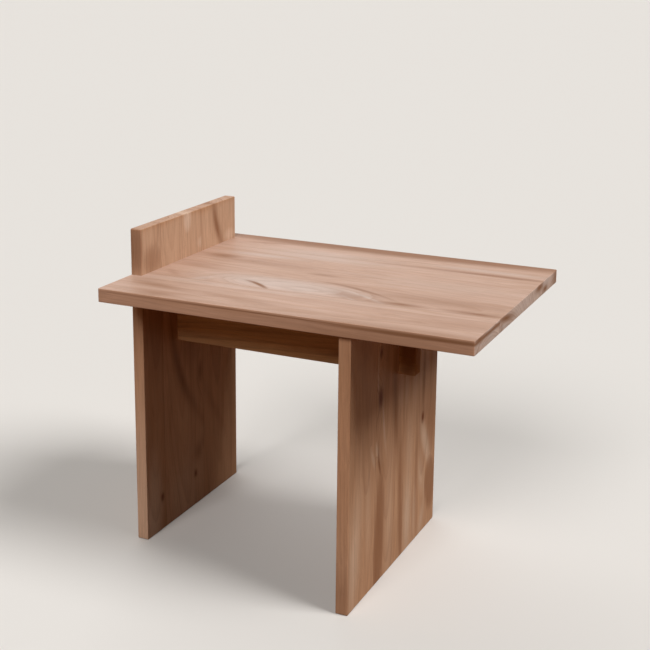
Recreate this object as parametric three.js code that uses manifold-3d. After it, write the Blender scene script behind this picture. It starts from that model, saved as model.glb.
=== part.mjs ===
// A low side table of solid wood boards, glued edge to edge into slabs.
// A slab leg at the left end passes up through a notch in the top and stands above it as a lip.
// A second slab leg stands under the top, set in from the right end.
// A stretcher on edge ties the legs under the top: its stub tenon is housed in the left leg, and
// its other end runs through an open notch in the right leg and shows past it.
// Units are millimetres. +X runs along the top, +Y away from the near edge and +Z up.
// The origin is on the floor, under the middle of the top.

import * as THREE from 'three';
import { mergeVertices } from 'three/addons/utils/BufferGeometryUtils.js';
import Module from 'manifold-3d';

const wasm = await Module();
wasm.setup();

// The top
const topLength = 500;
const topWidth = 358;
const topHeight = 378; // from the floor to the upper face
const topThickness = 18;
const topJointShares = [0, 0.262, 0.796, 1]; // glue joints, across the width

// The left leg, which passes through the top
const lipHeight = 62; // what stands above the top
const leftLegThickness = 16;
const leftLegNearSetback = 78; // from the top's near edge
const leftLegFarSetback = 23; // from the top's far edge
const leftJointShares = [0, 0.19, 0.61, 1];

// The right leg, which stops under the top
const rightLegThickness = 16;
const rightLegNearSetback = 8; // from the top's near edge
const rightLegFarSetback = 41; // from the top's far edge
const legSpan = 315; // between the two legs' inner faces
const rightJointShares = [0, 0.27, 0.595, 1];

// The stretcher
const stretcherThickness = 18;
const stretcherHeight = 95;
const stretcherSetback = 166; // from the top's near edge
const stretcherReach = 23; // what shows past the right leg

// The stub tenon, with round edges for a routed mortise
const tenonThickness = 10;
const tenonShoulder = 12; // above and below the tenon

// The dowels, fluted and chamfered
const dowelDiameter = 8;
const fluteCount = 12;
const fluteDepth = 0.4;
const dowelChamfer = 1;
const dowelReach = 24; // into a slab's end or edge
const rightLegDowelShares = [0.09, 0.2, 0.42, 0.73, 0.925]; // across the right leg
const leftLegDowelShares = [0.1, 0.52, 0.9]; // across the left leg
const stretcherDowelShares = [0.16, 0.5, 0.84]; // along the clear span between the legs

// Fits and edges
const sideGap = 0.3; // on each side of a dowel, a tenon or a housed slab
const glueRoom = 1; // past the end of a dowel or the tenon
const blindSkin = 6; // wood left behind a blind hole
const arris = 1; // what the sanded edges lose
const cornerRadius = 2; // a slab's corners, seen face on
const arrisSteps = 2;
const cornerSteps = 3;
const boreSides = 32;
const overrun = 5; // how far a cut or a trimmed end runs past what it meets

// The finish of each slab's wood, as bought boards differ
const topColour = 0xc39a7c;
const leftLegColour = 0xa87f5c;
const rightLegColour = 0xb98a6a;
const stretcherColour = 0xa57a5c;
const dowelColour = 0xd8b98c;
const oiledRoughness = 0.5;
const bareRoughness = 0.8;

// Places in the table's frame
const leftEnd = -topLength / 2;
const rightEnd = topLength / 2;
const nearEdge = -topWidth / 2;
const farEdge = topWidth / 2;
const underside = topHeight - topThickness;
const lipTop = topHeight + lipHeight;
const leftLegFace = leftEnd + leftLegThickness;
const leftLegNear = nearEdge + leftLegNearSetback;
const leftLegFar = farEdge - leftLegFarSetback;
const leftLegWidth = leftLegFar - leftLegNear;
const rightLegFace = leftLegFace + legSpan;
const rightLegBack = rightLegFace + rightLegThickness;
const rightLegNear = nearEdge + rightLegNearSetback;
const rightLegFar = farEdge - rightLegFarSetback;
const rightLegWidth = rightLegFar - rightLegNear;
const stretcherNear = nearEdge + stretcherSetback;
const stretcherFar = stretcherNear + stretcherThickness;
const stretcherMiddle = (stretcherNear + stretcherFar) / 2;
const stretcherBottom = underside - stretcherHeight;
const stretcherEnd = rightLegBack + stretcherReach;
const tenonLength = leftLegThickness - blindSkin - glueRoom;
const dowelRadius = dowelDiameter / 2;

// Axes for a slab that is drawn flat: where its drawn right, its drawn up and its thickness go
const lyingFlat = new THREE.Matrix4();
const acrossTable = new THREE.Matrix4().makeBasis(
  new THREE.Vector3(0, 1, 0), new THREE.Vector3(0, 0, 1), new THREE.Vector3(1, 0, 0));
const alongTable = new THREE.Matrix4().makeBasis(
  new THREE.Vector3(1, 0, 0), new THREE.Vector3(0, 0, 1), new THREE.Vector3(0, -1, 0));

// A closed three.js geometry as a solid that can be joined and cut
function solidOf(geometry) {
  const bare = new THREE.BufferGeometry();
  bare.setAttribute('position', geometry.getAttribute('position'));
  if (geometry.index) bare.setIndex(geometry.index);
  const merged = mergeVertices(bare);
  return new wasm.Manifold(new wasm.Mesh({
    numProp: 3,
    vertProperties: new Float32Array(merged.getAttribute('position').array),
    triVerts: new Uint32Array(merged.index.array),
  }));
}

// The geometry of a solid, with a flat normal on each facet
function geometryOf(solid) {
  const mesh = solid.getMesh();
  const shared = new THREE.BufferGeometry();
  shared.setAttribute('position', new THREE.BufferAttribute(mesh.vertProperties, 3));
  shared.setIndex(new THREE.BufferAttribute(mesh.triVerts, 1));
  const geometry = shared.toNonIndexed();
  geometry.computeVertexNormals();
  return geometry;
}

// A block between two corners, for trimming and splitting
function block(x0, x1, y0, y1, z0, z1) {
  const box = new THREE.BoxGeometry(x1 - x0, y1 - y0, z1 - z0);
  box.translate((x0 + x1) / 2, (y0 + y1) / 2, (z0 + z1) / 2);
  return solidOf(box);
}

// An outline through the given corners, anticlockwise: outside corners are rounded by an arc, and
// inside corners stay square, as a chisel leaves them
function roundedOutline(corners, radius) {
  const points = [];
  corners.forEach((corner, i) => {
    const before = corners[(i + corners.length - 1) % corners.length];
    const after = corners[(i + 1) % corners.length];
    const toBefore = before.clone().sub(corner).setLength(radius);
    const toAfter = after.clone().sub(corner).setLength(radius);
    if (toAfter.cross(toBefore) < 0) {
      points.push(corner.clone());
      return;
    }
    const centre = corner.clone().add(toBefore).add(toAfter);
    for (let step = 0; step <= cornerSteps; step += 1) {
      const turn = (step / cornerSteps) * (Math.PI / 2);
      points.push(centre.clone()
        .addScaledVector(toAfter, -Math.cos(turn))
        .addScaledVector(toBefore, -Math.sin(turn)));
    }
  });
  return new THREE.Shape(points);
}

// A slab with sanded edges: an outline given a thickness, turned to stand or lie
function slab(corners, thickness, axes, place) {
  const outline = roundedOutline(corners.map(([x, y]) => new THREE.Vector2(x, y)), cornerRadius);
  const geometry = new THREE.ExtrudeGeometry(outline, {
    depth: thickness - 2 * arris,
    bevelThickness: arris,
    bevelSize: arris,
    bevelOffset: -arris,
    bevelSegments: arrisSteps,
  });
  geometry.translate(0, 0, arris);
  geometry.applyMatrix4(axes);
  geometry.translate(place.x, place.y, place.z);
  return solidOf(geometry);
}

// The same slab as boards, split at its glue joints, which run across Y
function boardsOf(solid, nearSide, width, jointShares) {
  const boards = [];
  for (let i = 0; i + 1 < jointShares.length; i += 1) {
    const first = i === 0;
    const last = i + 2 === jointShares.length;
    const y0 = nearSide + width * jointShares[i] - (first ? overrun : 0);
    const y1 = nearSide + width * jointShares[i + 1] + (last ? overrun : 0);
    const strip = block(leftEnd - overrun, rightEnd + overrun, y0, y1, -overrun, lipTop + overrun);
    boards.push(solid.intersect(strip));
  }
  return boards;
}

// A fluted dowel along its own Z, from one end at zero
function dowelGeometry(length) {
  const points = [];
  const pointsPerFlute = 4;
  for (let i = 0; i < fluteCount * pointsPerFlute; i += 1) {
    const turn = (i / (fluteCount * pointsPerFlute)) * 2 * Math.PI;
    const radius = dowelRadius - (i % pointsPerFlute === 0 ? fluteDepth : 0);
    points.push(new THREE.Vector2(radius * Math.cos(turn), radius * Math.sin(turn)));
  }
  const geometry = new THREE.ExtrudeGeometry(new THREE.Shape(points), {
    depth: length - 2 * dowelChamfer,
    bevelThickness: dowelChamfer,
    bevelSize: dowelChamfer,
    bevelOffset: -dowelChamfer,
    bevelSegments: 1,
  });
  geometry.translate(0, 0, dowelChamfer);
  return geometry;
}

// Each dowel joint: where the two pieces meet, which way the dowel points and how deep it goes
const dowelJoints = [];
rightLegDowelShares.forEach((share, i) => dowelJoints.push({
  name: `right_leg_dowel_${i + 1}`,
  at: new THREE.Vector3((rightLegFace + rightLegBack) / 2, rightLegNear + rightLegWidth * share, underside),
  along: new THREE.Vector3(0, 0, 1),
  behind: dowelReach,
  ahead: topThickness - blindSkin,
}));
stretcherDowelShares.forEach((share, i) => dowelJoints.push({
  name: `stretcher_dowel_${i + 1}`,
  at: new THREE.Vector3(leftLegFace + legSpan * share, stretcherMiddle, underside),
  along: new THREE.Vector3(0, 0, 1),
  behind: dowelReach,
  ahead: topThickness - blindSkin,
}));
leftLegDowelShares.forEach((share, i) => dowelJoints.push({
  name: `left_leg_dowel_${i + 1}`,
  at: new THREE.Vector3(leftLegFace, leftLegNear + leftLegWidth * share, underside + topThickness / 2),
  along: new THREE.Vector3(1, 0, 0),
  behind: leftLegThickness - blindSkin,
  ahead: dowelReach,
}));

// Places something made along its own Z at a dowel joint
function turnTo(joint, object) {
  object.quaternion.setFromUnitVectors(new THREE.Vector3(0, 0, 1), joint.along);
  return object;
}

// The bores of all the dowels, which cut every board that they reach
function boreOf(joint) {
  const length = joint.behind + joint.ahead;
  const geometry = new THREE.CylinderGeometry(
    dowelRadius + sideGap, dowelRadius + sideGap, length, boreSides);
  geometry.rotateX(Math.PI / 2);
  const middle = joint.at.clone().addScaledVector(joint.along, (joint.ahead - joint.behind) / 2);
  const placed = turnTo(joint, new THREE.Object3D());
  placed.position.copy(middle);
  placed.updateMatrix();
  geometry.applyMatrix4(placed.matrix);
  return solidOf(geometry);
}
const bores = dowelJoints.map(boreOf).reduce((all, bore) => all.add(bore));

// The stub tenon's round-edged outline, given a thickness along X
function tenonSolid(x0, x1, gap) {
  const radius = tenonThickness / 2 + gap;
  const low = stretcherBottom + tenonShoulder + tenonThickness / 2;
  const high = underside - tenonShoulder - tenonThickness / 2;
  const outline = new THREE.Shape();
  outline.absarc(stretcherMiddle, high, radius, 0, Math.PI, false);
  outline.absarc(stretcherMiddle, low, radius, Math.PI, 2 * Math.PI, false);
  const geometry = new THREE.ExtrudeGeometry(outline, {
    depth: x1 - x0,
    bevelEnabled: false,
    curveSegments: boreSides / 2,
  });
  geometry.applyMatrix4(acrossTable);
  geometry.translate(x0, 0, 0);
  return solidOf(geometry);
}

// The top, with a notch in its left end for the leg
function topBoards() {
  const notchNear = leftLegNear - sideGap;
  const notchFar = leftLegFar + sideGap;
  const corners = [
    [leftEnd, nearEdge],
    [rightEnd, nearEdge],
    [rightEnd, farEdge],
    [leftEnd, farEdge],
    [leftEnd, notchFar],
    [leftLegFace, notchFar],
    [leftLegFace, notchNear],
    [leftEnd, notchNear],
  ];
  const whole = slab(corners, topThickness, lyingFlat, new THREE.Vector3(0, 0, underside));
  return boardsOf(whole.subtract(bores), nearEdge, topWidth, topJointShares);
}

// The left leg, with a blind mortise for the stretcher
function leftLegBoards() {
  const corners = [
    [leftLegNear, 0],
    [leftLegFar, 0],
    [leftLegFar, lipTop],
    [leftLegNear, lipTop],
  ];
  const whole = slab(corners, leftLegThickness, acrossTable, new THREE.Vector3(leftEnd, 0, 0));
  const mortise = tenonSolid(leftLegFace - tenonLength - glueRoom, leftLegFace + overrun, sideGap);
  return boardsOf(whole.subtract(bores).subtract(mortise), leftLegNear, leftLegWidth, leftJointShares);
}

// The right leg, trimmed square under the top and notched for the stretcher
function rightLegBoards() {
  const notchNear = stretcherNear - sideGap;
  const notchFar = stretcherFar + sideGap;
  const aboveTrim = underside + overrun;
  const corners = [
    [rightLegNear, 0],
    [rightLegFar, 0],
    [rightLegFar, aboveTrim],
    [notchFar, aboveTrim],
    [notchFar, stretcherBottom],
    [notchNear, stretcherBottom],
    [notchNear, aboveTrim],
    [rightLegNear, aboveTrim],
  ];
  const whole = slab(corners, rightLegThickness, acrossTable, new THREE.Vector3(rightLegFace, 0, 0));
  const below = block(leftEnd, rightEnd, nearEdge, farEdge, -overrun, underside);
  return boardsOf(whole.intersect(below).subtract(bores), rightLegNear, rightLegWidth, rightJointShares);
}

// The stretcher, trimmed square at the left leg and under the top, with its stub tenon
function stretcherSolid() {
  const corners = [
    [leftLegFace - overrun, stretcherBottom],
    [stretcherEnd, stretcherBottom],
    [stretcherEnd, underside + overrun],
    [leftLegFace - overrun, underside + overrun],
  ];
  const whole = slab(corners, stretcherThickness, alongTable, new THREE.Vector3(0, stretcherFar, 0));
  const kept = block(leftLegFace, rightEnd, nearEdge, farEdge, -overrun, underside);
  const tenon = tenonSolid(leftLegFace - tenonLength, leftLegFace + overrun, 0);
  return whole.intersect(kept).subtract(bores).add(tenon);
}

function finish(colour, roughness) {
  return new THREE.MeshStandardMaterial({ color: colour, roughness, metalness: 0 });
}

function piece(name, geometry, material) {
  const mesh = new THREE.Mesh(geometry, material);
  mesh.name = name;
  return mesh;
}

// A group of boards, named from the near side to the far side
function boardGroup(name, boards, colour) {
  const group = new THREE.Group();
  const sides = ['near', 'middle', 'far'];
  boards.forEach((board, i) => {
    group.add(piece(`${name}_board_${sides[i]}`, geometryOf(board), finish(colour, oiledRoughness)));
  });
  return group;
}

function dowelPiece(joint) {
  const length = joint.behind + joint.ahead - 2 * glueRoom;
  const mesh = turnTo(joint, piece(joint.name, dowelGeometry(length), finish(dowelColour, bareRoughness)));
  mesh.position.copy(joint.at).addScaledVector(joint.along, glueRoom - joint.behind);
  return mesh;
}

const table = new THREE.Group();
table.add(boardGroup('top', topBoards(), topColour));
table.add(boardGroup('left_leg', leftLegBoards(), leftLegColour));
table.add(boardGroup('right_leg', rightLegBoards(), rightLegColour));
table.add(piece('stretcher', geometryOf(stretcherSolid()), finish(stretcherColour, oiledRoughness)));
dowelJoints.forEach((joint) => table.add(dowelPiece(joint)));

export default table;
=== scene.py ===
# %% [markdown]
# A low side table of solid wood boards. They are glued edge to edge into slabs: a top, a left leg that
# passes up through the top and stands above it as a lip, and a right leg under the top. A stretcher on
# edge ties the legs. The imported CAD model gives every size, so this script only dresses it. It works in
# metres, and a value in millimetres is written with MM.

# %% Load the frame
import math
from functools import partial
from itertools import product

import bmesh
import bpy
from mathutils import Matrix, Vector


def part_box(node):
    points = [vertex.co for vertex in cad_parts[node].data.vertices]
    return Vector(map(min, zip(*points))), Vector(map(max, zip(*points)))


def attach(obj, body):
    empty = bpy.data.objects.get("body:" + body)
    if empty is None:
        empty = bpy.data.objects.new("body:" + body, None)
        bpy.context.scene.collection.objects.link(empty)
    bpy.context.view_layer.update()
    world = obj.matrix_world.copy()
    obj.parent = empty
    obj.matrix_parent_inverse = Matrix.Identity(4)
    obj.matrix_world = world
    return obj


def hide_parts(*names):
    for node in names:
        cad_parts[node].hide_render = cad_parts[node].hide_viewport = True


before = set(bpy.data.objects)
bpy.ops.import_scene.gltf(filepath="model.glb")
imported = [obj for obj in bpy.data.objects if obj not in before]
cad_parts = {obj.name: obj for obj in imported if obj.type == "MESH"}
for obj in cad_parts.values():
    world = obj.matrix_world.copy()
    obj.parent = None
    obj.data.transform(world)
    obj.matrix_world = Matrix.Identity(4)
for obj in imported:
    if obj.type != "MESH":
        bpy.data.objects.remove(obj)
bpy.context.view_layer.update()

MM = 0.001


def in_mm(lengths, digits=1):
    """Lengths in metres, as rounded millimetres."""
    return [round(length / MM, digits) for length in lengths]


print("nodes:", len(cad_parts))

# %% [markdown]
# The camera stands at the right of the near side and looks down a little. Its place and turn were
# worked out from the straight edges of the real table. A long lens keeps the verticals nearly upright,
# and a small shift does the rest, because a big one would push other views off centre.

# %% Place the camera
QUARTER = math.radians(90)
CAMERA_PLACE = Vector((654.2, -1473.1, 803.2)) * MM
CAMERA_TURN = math.radians(24.442)
CAMERA_DIP = math.radians(13.065)
CAMERA_ROLL = math.radians(0.55)
CAMERA_LENS = 70.29
CAMERA_SHIFT = -0.13


def add_object(name, data):
    """A new object, put in the scene."""
    made = bpy.data.objects.new(name, data)
    bpy.context.scene.collection.objects.link(made)
    return made


camera = add_object("camera", bpy.data.cameras.new("camera"))
camera.data.lens = CAMERA_LENS
camera.data.shift_y = CAMERA_SHIFT
camera.matrix_world = (
    Matrix.Translation(CAMERA_PLACE)
    @ Matrix.Rotation(CAMERA_TURN, 4, "Z")
    @ Matrix.Rotation(QUARTER - CAMERA_DIP, 4, "X")
    @ Matrix.Rotation(CAMERA_ROLL, 4, "Z")
)
bpy.context.scene.camera = camera
print("the camera is", round(camera.location.length, 2), "m from the table's foot")

# %% [markdown]
# Every material and Geometry Nodes tree below is made of nodes, so a few helpers come first. One adds a
# node and fills its inputs with numbers or links, and the others do sums on values, vectors and colours.
# A sum is made in the tree that its values come from, so it reads like the formula it stands for.

# %% Helpers for node trees
def plug(socket, value):
    """Links an output to an input, or sets the input to a plain value."""
    if isinstance(value, bpy.types.NodeSocket):
        socket.id_data.links.new(value, socket)
    else:
        socket.default_value = value


def node(tree, kind, inputs=None, **settings):
    """A new node, with its settings and its inputs, by name or by number."""
    made = tree.nodes.new(kind)
    for name, value in settings.items():
        setattr(made, name, value)
    for name, value in (inputs or {}).items():
        plug(made.inputs[name], value)
    return made


def tree_of(values):
    """The tree of the first link among some values."""
    return next(value.id_data for value in values if isinstance(value, bpy.types.NodeSocket))


def calc(operation, *values):
    """One sum on numbers."""
    return node(tree_of(values), "ShaderNodeMath", dict(enumerate(values)), operation=operation).outputs[0]


plus, minus, times, ratio, larger = [
    partial(calc, operation) for operation in ("ADD", "SUBTRACT", "MULTIPLY", "DIVIDE", "MAXIMUM")]


def vcalc(operation, *values):
    """One sum on vectors. A dot product comes out as a number."""
    made = node(tree_of(values), "ShaderNodeVectorMath", dict(enumerate(values)), operation=operation)
    return made.outputs["Value" if operation == "DOT_PRODUCT" else "Vector"]


def scaled(vector, factor):
    """A vector or a colour times a number."""
    inputs = {0: vector, "Scale": factor}
    return node(vector.id_data, "ShaderNodeVectorMath", inputs, operation="SCALE").outputs[0]


def split(vector):
    """The X, Y and Z of a vector."""
    return node(vector.id_data, "ShaderNodeSeparateXYZ", {0: vector}).outputs


def join(*values):
    """A vector from its X, Y and Z."""
    return node(tree_of(values), "ShaderNodeCombineXYZ", dict(enumerate(values))).outputs[0]


def squares(first, second):
    """The sum of two squares."""
    return plus(times(first, first), times(second, second))


def ramp(value, start, end):
    """Goes smoothly from 0 to 1 while a value goes from start to end."""
    limits = {"Value": value, "From Min": start, "From Max": end}
    return node(value.id_data, "ShaderNodeMapRange", limits, interpolation_type="SMOOTHSTEP").outputs[0]


def tint(share, first, second):
    """Mixes two colours. A share of 0 gives the first and 1 the second."""
    made = node(share.id_data, "ShaderNodeMix", {"Factor": share}, data_type="RGBA")
    places = [socket for socket in made.inputs if socket.type == "RGBA"]
    plug(places[0], first)
    plug(places[1], second)
    return next(socket for socket in made.outputs if socket.type == "RGBA")


def colour(red, green, blue):
    """A colour from 0 to 255, as a picture shows it, turned into Blender's linear values."""
    linear = [((c / 255 + 0.055) / 1.055) ** 2.4 if c > 10 else c / 255 / 12.92 for c in (red, green, blue)]
    return (*linear, 1.0)


print("a middle grey is", [round(c, 3) for c in colour(128, 128, 128)])

# %% [markdown]
# The floor is plain and pale. A pale floor would throw a lot of light up under the table, where the
# real one is dark, so it is pale only to rays from the camera or a reflection, which Light Path tells
# apart. Both halves are diffuse, so the table's shadow lies on the floor.

# %% Lay the floor
FLOOR_HALF = 30.0
FLOOR_SEEN = colour(226, 222, 217)
FLOOR_BOUNCE = colour(108, 73, 44)


def new_material(name):
    """A material with an empty node tree."""
    material = bpy.data.materials.new(name)
    material.use_nodes = True
    material.node_tree.nodes.clear()
    return material


def by_ray(lit, seen):
    """Mixes two shaders: the first for light that falls on the table, the second for what is looked at."""
    path = node(lit.id_data, "ShaderNodeLightPath").outputs
    direct = larger(path["Is Camera Ray"], path["Is Glossy Ray"])
    direct = larger(direct, path["Is Transmission Ray"])
    inputs = {0: direct, 1: lit.outputs[0], 2: seen.outputs[0]}
    return node(lit.id_data, "ShaderNodeMixShader", inputs).outputs[0]


floor_material = new_material("floor")
floor_tree = floor_material.node_tree
floor_lit = node(floor_tree, "ShaderNodeBsdfDiffuse", {"Color": FLOOR_BOUNCE})
floor_seen = node(floor_tree, "ShaderNodeBsdfDiffuse", {"Color": FLOOR_SEEN})
node(floor_tree, "ShaderNodeOutputMaterial", {"Surface": by_ray(floor_lit, floor_seen)})

floor_mesh = bpy.data.meshes.new("floor")
floor_corners = [(FLOOR_HALF * x, FLOOR_HALF * y, 0.0) for x, y in ((-1, -1), (1, -1), (1, 1), (-1, 1))]
floor_mesh.from_pydata(floor_corners, [], [(0, 1, 2, 3)])
floor_mesh.materials.append(floor_material)
floor = add_object("floor", floor_mesh)
print("floor laid at height", floor.location.z)

# %% [markdown]
# Three wide sun lamps work like large windows: the whole floor gets the same light, and no shadow has
# a hard edge. The key comes from the right, so high that the overhang shades the right leg's upper half
# and hardly any light gets in under the top. The fill comes from the front, and a back light keeps the
# far sides readable. The world adds a little from all round, and shows pale behind the table.

# %% Light the scene
WINDOWS = {
    "key": dict(source=(0.66, 0.0, 0.75), strength=2.22, width=26),
    "fill": dict(source=(0.04, -0.785, 0.62), strength=1.6, width=28),
    "back": dict(source=(-0.62, 0.55, 0.56), strength=0.8, width=60),
}
WORLD_LIGHT = 0.065
WORLD_SEEN = colour(236, 234, 231)
WORLD_COLOUR = colour(255, 244, 230)

for name, window in WINDOWS.items():
    source = Vector(window["source"])
    data = bpy.data.lights.new(name, "SUN")
    data.energy = window["strength"]
    data.angle = math.radians(window["width"])
    add_object(name, data).rotation_euler = source.to_track_quat("Z", "Y").to_euler()
    print(name, "light from", [round(v, 2) for v in source.normalized()])

world = bpy.data.worlds.new("studio")
bpy.context.scene.world = world
world.use_nodes = True
world_tree = world.node_tree
world_tree.nodes.clear()
world_lit = node(world_tree, "ShaderNodeBackground", {"Color": WORLD_COLOUR, "Strength": WORLD_LIGHT})
world_seen = node(world_tree, "ShaderNodeBackground", {"Color": WORLD_SEEN, "Strength": 1.0})
node(world_tree, "ShaderNodeOutputWorld", {"Surface": by_ray(world_lit, world_seen)})
bpy.context.scene.view_settings.view_transform = "Standard"
print("the world gives", WORLD_LIGHT, "from all round")

# %% [markdown]
# Wood is a stack of growth layers round the pith of the log, and a board is a slice of that stack. So
# the pattern is made in three dimensions, in millimetres, and not painted on: cut along the log it shows
# long arches, and cut across it shows arcs, so a board's end looks right by itself. The first group
# gives each point its depth, the distance from the pith, with a slow waver.

# %% A group for the depth in the log
DEPTH_WAVER_SIZE = (190, 70, 70)


def new_tree(name, inputs, outputs, kind="ShaderNodeTree"):
    """A node group with named sockets. An input is given by its type or its default."""
    tree = bpy.data.node_groups.new(name, kind)
    for title, value in inputs.items():
        socket = {str: value, float: "Float", tuple: "Color"}[type(value)]
        made = tree.interface.new_socket(title, in_out="INPUT", socket_type=f"NodeSocket{socket}")
        if socket != value:
            made.default_value = value
    for title, socket in outputs.items():
        tree.interface.new_socket(title, in_out="OUTPUT", socket_type="NodeSocket" + socket)
    return tree, node(tree, "NodeGroupInput").outputs, node(tree, "NodeGroupOutput").inputs


def stretched(vector, size):
    """Stretches a pattern to a size in millimetres along X, Y and Z."""
    return vcalc("MULTIPLY", vector, [1 / length for length in size])


def noise(vector, seed, detail, output="Fac"):
    """Smooth noise, with its seed as a fourth dimension."""
    inputs = {"Vector": vector, "W": seed, "Scale": 1.0, "Detail": detail}
    return node(vector.id_data, "ShaderNodeTexNoise", inputs, noise_dimensions="4D").outputs[output]


def drift(vector, size, seed, detail):
    """A slow shift of up to a half each way."""
    return vcalc("SUBTRACT", noise(stretched(vector, size), seed, detail, "Color"), (0.5, 0.5, 0.5))


def make_depth_group():
    """Pith Across and Pith Below say where the pith is, and the leans how it runs away from the board."""
    tree, given, result = new_tree("log_depth", {
        "Vector": "Vector", "Pith Across": 0.0, "Pith Below": 80.0, "Lean Across": 0.0, "Lean Down": 0.0,
        "Waver": 6.0, "Seed": 0.0}, {"Depth": "Float"})
    offset = scaled(drift(given["Vector"], DEPTH_WAVER_SIZE, given["Seed"], 2.0), given["Waver"])
    place = split(vcalc("ADD", given["Vector"], offset))
    lean = times(given["Lean Across"], place["X"])
    across = minus(minus(place["Y"], given["Pith Across"]), lean)
    dip = times(given["Lean Down"], place["X"])
    below = plus(plus(place["Z"], given["Pith Below"]), dip)
    plug(result["Depth"], calc("SQRT", squares(across, below)))
    return tree


def counted(tree):
    """Prints how big a finished tree is, and hands it on."""
    print(tree.name, "has", len(tree.nodes), "nodes")
    return tree


DEPTH_GROUP = counted(make_depth_group())

# %% [markdown]
# The second group turns depth into rings. Each ring darkens slowly through the summer and stops short
# in autumn, so the ring's own progress is raised to a power. Ring widths and ring tones change from
# year to year, which a noise that reads only the depth gives.

# %% A group for growth rings
YEARS_PACE = 0.31
SUMMER_POWER = 2.6
AUTUMN_START = 0.9
FAINTEST_RING = 0.3


def make_ring_group():
    """Late Wood is how dark each ring is at a point, and Ring Tone a number of its own for each ring."""
    tree, given, result = new_tree("growth_rings", {
        "Depth": 0.0, "Ring Width": 4.0, "Unevenness": 1.6, "Seed": 0.0,
    }, {"Late Wood": "Float", "Ring Tone": "Float"})
    years = ratio(given["Depth"], given["Ring Width"])
    pace = plus(times(years, YEARS_PACE), given["Seed"])
    uneven = node(tree, "ShaderNodeTexNoise", {"W": pace, "Scale": 1.0, "Detail": 1.0}, noise_dimensions="1D")
    years = plus(years, times(uneven.outputs["Fac"], given["Unevenness"]))
    season = calc("FRACT", years)
    late = times(calc("POWER", season, SUMMER_POWER), ramp(season, 1.0, AUTUMN_START))
    ring = plus(calc("FLOOR", years), given["Seed"])
    tone = node(tree, "ShaderNodeTexWhiteNoise", {"W": ring}, noise_dimensions="1D").outputs["Value"]
    strength = calc("MULTIPLY_ADD", tone, 1 - FAINTEST_RING, FAINTEST_RING)
    plug(result["Late Wood"], times(late, strength))
    plug(result["Ring Tone"], tone)
    return tree


RING_GROUP = counted(make_ring_group())

# %% [markdown]
# The third group gives what runs along the grain: soft clouds of tone, streaks of colour, fine fibres,
# and pores, which are short dark dashes. They are all noise, squeezed across the board and stretched
# along it. A second noise bends them a little.

# %% A group for fibres and pores
STREAK_BEND_SIZE = (90, 40, 40)
STREAK_BEND = (0.0, 16.0, 16.0)
PORE_RANGE = (0.66, 0.74)


def make_fibre_group():
    """Each result is a noise with a length along the grain and one across it, in millimetres."""
    tree, given, result = new_tree("wood_fibres", {
        "Vector": "Vector", "Streak Width": 9.0, "Seed": 0.0,
    }, {"Cloud": "Float", "Streak": "Float", "Fibre": "Float", "Pore": "Float"})
    bend = vcalc("MULTIPLY", drift(given["Vector"], STREAK_BEND_SIZE, given["Seed"], 1.0), STREAK_BEND)
    place = split(vcalc("ADD", given["Vector"], bend))

    def grain(along, across, detail, seed_step):
        sizes = {"X": along, "Y": across, "Z": across}
        vector = join(*[ratio(place[axis], size) for axis, size in sizes.items()])
        return noise(vector, plus(given["Seed"], seed_step), detail)

    plug(result["Cloud"], grain(120.0, 34.0, 1.0, 5.0))
    plug(result["Streak"], grain(110.0, given["Streak Width"], 3.0, 11.0))
    plug(result["Fibre"], grain(60.0, 1.5, 3.0, 23.0))
    plug(result["Pore"], ramp(grain(9.0, 0.45, 1.0, 37.0), *PORE_RANGE))
    return tree


FIBRE_GROUP = counted(make_fibre_group())

# %% [markdown]
# A board also has marks of its own: an oval of figure, a knot, a brown streak. Some pale and brown marks
# on the legs and the stretcher are painted light and painted shade. One group draws each as a soft oval
# that can be turned and bent. Its mask tints the wood, and added to the depth it also bends the rings
# round itself, as a knot does.

# %% A group for one mark
FRAY_SIZE = (30, 4, 4)


def make_mark_group():
    """Bend curves the oval, Firmness above 1 makes its edge sharper, and Fray makes it ragged."""
    tree, given, result = new_tree("board_mark", {
        "Vector": "Vector", "Place": "Vector", "Length": 50.0, "Width": 10.0, "Turn": 0.0, "Bend": 0.0,
        "Firmness": 1.0, "Fray": 0.2}, {"Mask": "Float"})
    local = vcalc("SUBTRACT", given["Vector"], given["Place"])
    turn = {"Vector": local, "Angle": given["Turn"]}
    place = split(node(tree, "ShaderNodeVectorRotate", turn, rotation_type="Z_AXIS").outputs[0])
    along = ratio(place["X"], given["Length"])
    curve = times(times(along, along), given["Bend"])
    across = ratio(minus(place["Y"], curve), given["Width"])
    rough = node(tree, "ShaderNodeTexNoise", {
        "Vector": stretched(given["Vector"], FRAY_SIZE), "Scale": 1.0, "Detail": 3.0}).outputs["Fac"]
    fray = times(minus(rough, 0.5), given["Fray"])
    reach = larger(plus(squares(along, across), fray), 0.0)
    reach = calc("POWER", reach, given["Firmness"])
    plug(result["Mask"], calc("EXPONENT", times(reach, -1.0)))
    return tree


MARK_GROUP = counted(make_mark_group())

# %% [markdown]
# The end of a board drinks more oil than its face, so it is rougher. One group finds end grain from
# the direction in which the surface faces. Glue squeezes out along a joint and takes oil badly, so each
# joint shows as a hair line, which another group finds from the distance to the board's two joints.

# %% Groups for end grain and glue lines
END_RANGE = (0.55, 0.9)
GLUE_RANGE = (1.0, 0.2)


def make_end_group():
    tree, given, result = new_tree("end_grain", {
        "Normal": "Vector", "Grain Axis": "Vector"}, {"Mask": "Float"})
    facing = calc("ABSOLUTE", vcalc("DOT_PRODUCT", given["Normal"], given["Grain Axis"]))
    plug(result["Mask"], ramp(facing, *END_RANGE))
    return tree


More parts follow.
